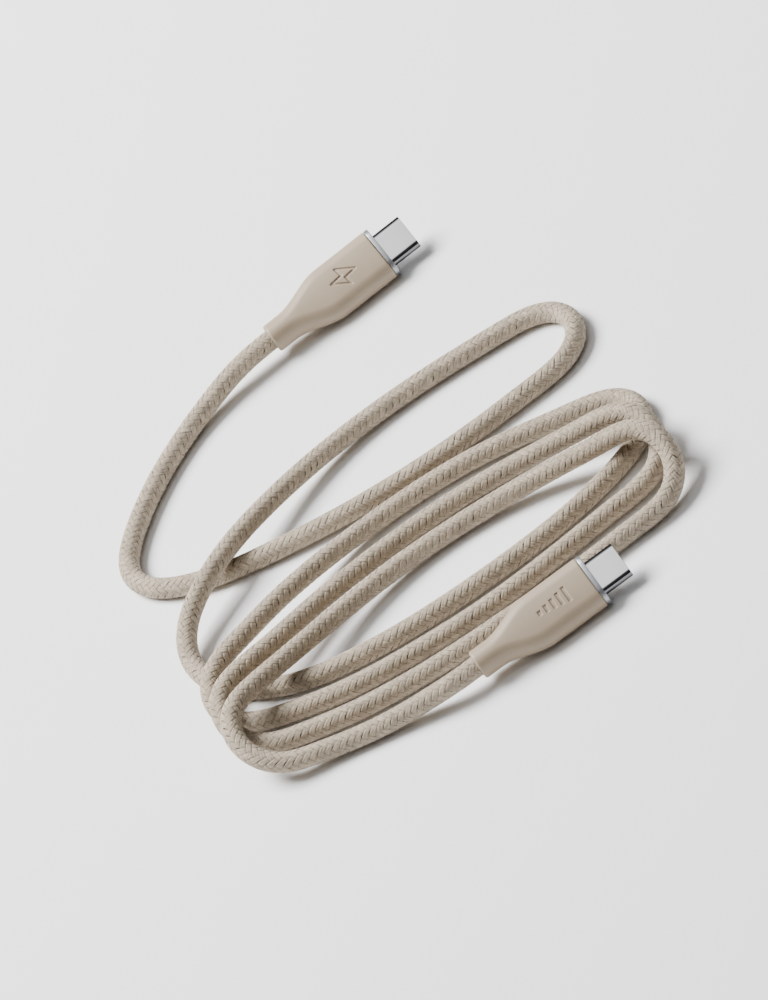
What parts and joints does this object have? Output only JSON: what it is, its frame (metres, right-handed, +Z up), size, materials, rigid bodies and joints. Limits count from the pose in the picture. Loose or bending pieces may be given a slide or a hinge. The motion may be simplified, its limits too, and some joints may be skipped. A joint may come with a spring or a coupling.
{
  "type": "charging cable",
  "caption": "Braided beige charging cable with a reversible metal-shelled plug in a soft-touch boot at each end, lying in loose oval loops.",
  "frame": {"origin": "on the surface that the cable lies on, under the middle of its outline", "axes": "+Z up from the surface; +X the way both plugs point, along the long axis of the loops; +Y across the loops, from plug b towards plug a"},
  "size_m": [0.1096, 0.143, 0.0125],
  "materials": {
    "braid": "woven yarn sleeve, warm beige, matt",
    "jacket": "soft extruded jacket under the braid, unseen",
    "wires": "copper wires inside the jacket, unseen",
    "boot": "soft-touch moulded plastic, warm beige, satin matt",
    "collar": "fine silver-grey satin metal",
    "shell": "bright smooth drawn steel",
    "dark_plastic": "black moulded insulator",
    "contacts": "gold-plated contact strips",
    "steel_inner": "plain sheet steel",
    "circuit_card": "green circuit card",
    "inner_mould": "pale hard plastic inner mould"
  },
  "bodies": {
    "root": {"braid_sleeve": "braid", "inner_jacket": "jacket", "wire_power": "wires", "wire_ground": "wires", "wire_sense": "wires", "wire_data_plus": "wires", "wire_data_minus": "wires", "plug_a_boot": "boot", "plug_a_collar": "collar", "plug_a_shell": "shell", "plug_a_insert": "dark_plastic", "plug_a_latch_plate": "steel_inner", "plug_a_paddle_card": "circuit_card", "plug_a_crimp_ferrule": "steel_inner", "plug_a_inner_mould": "inner_mould", "plug_a_contacts_upper": "contacts", "plug_a_contacts_lower": "contacts", "plug_a_housing_upper": "dark_plastic", "plug_a_housing_lower": "dark_plastic", "plug_a_ground_spring_upper": "steel_inner", "plug_a_ground_spring_lower": "steel_inner", "plug_a_shield_can_upper": "steel_inner", "plug_a_shield_can_lower": "steel_inner", "plug_b_boot": "boot", "plug_b_collar": "collar", "plug_b_shell": "shell", "plug_b_insert": "dark_plastic", "plug_b_latch_plate": "steel_inner", "plug_b_paddle_card": "circuit_card", "plug_b_crimp_ferrule": "steel_inner", "plug_b_inner_mould": "inner_mould", "plug_b_contacts_upper": "contacts", "plug_b_contacts_lower": "contacts", "plug_b_housing_upper": "dark_plastic", "plug_b_housing_lower": "dark_plastic", "plug_b_ground_spring_upper": "steel_inner", "plug_b_ground_spring_lower": "steel_inner", "plug_b_shield_can_upper": "steel_inner", "plug_b_shield_can_lower": "steel_inner"}
  },
  "joints": []
}
